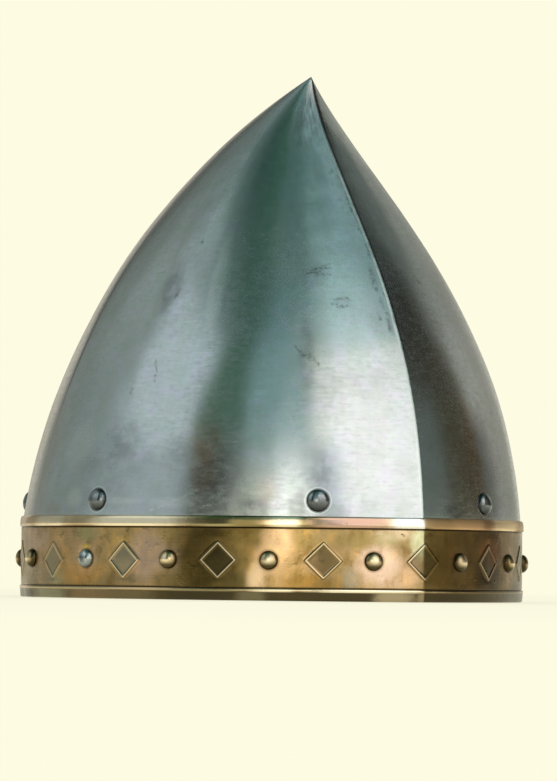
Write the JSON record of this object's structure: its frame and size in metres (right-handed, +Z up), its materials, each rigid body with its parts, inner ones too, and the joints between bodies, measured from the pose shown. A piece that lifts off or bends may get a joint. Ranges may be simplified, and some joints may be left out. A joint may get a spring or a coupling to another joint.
{
  "type": "norman helmet",
  "caption": "Tall pointed steel helmet of ridged plates with a studded brass brow band and a riveted leather liner, worn on the head or stood on its rim.",
  "frame": {"origin": "centre of the helmet's box in plan, on the plane of the rim that it stands on", "axes": "+Z up to the point, -Y to the front ridge that the wearer faces along, +X to the wearer's left"},
  "size_m": [0.2112, 0.229, 0.216],
  "materials": {
    "skull_steel": "satin, finely brushed, lightly oiled",
    "band_brass": "aged and hand polished",
    "stud_brass": "polished domes",
    "rivet_steel": "polished domes",
    "liner_leather": "matte vegetable-tanned leather"
  },
  "bodies": {
    "root": {"front_right_plate": "skull_steel", "front_left_plate": "skull_steel", "rear_right_plate": "skull_steel", "rear_left_plate": "skull_steel", "brow_band": "band_brass", "band_studs": "stud_brass", "band_steel_stud": "rivet_steel", "liner_rivets": "rivet_steel", "liner_washers": "rivet_steel", "liner_headband": "liner_leather", "liner_tongue_1": "liner_leather", "liner_tongue_2": "liner_leather", "liner_tongue_3": "liner_leather", "liner_tongue_4": "liner_leather", "liner_tongue_5": "liner_leather", "liner_tongue_6": "liner_leather", "liner_tongue_7": "liner_leather", "liner_crown": "liner_leather"}
  },
  "joints": []
}
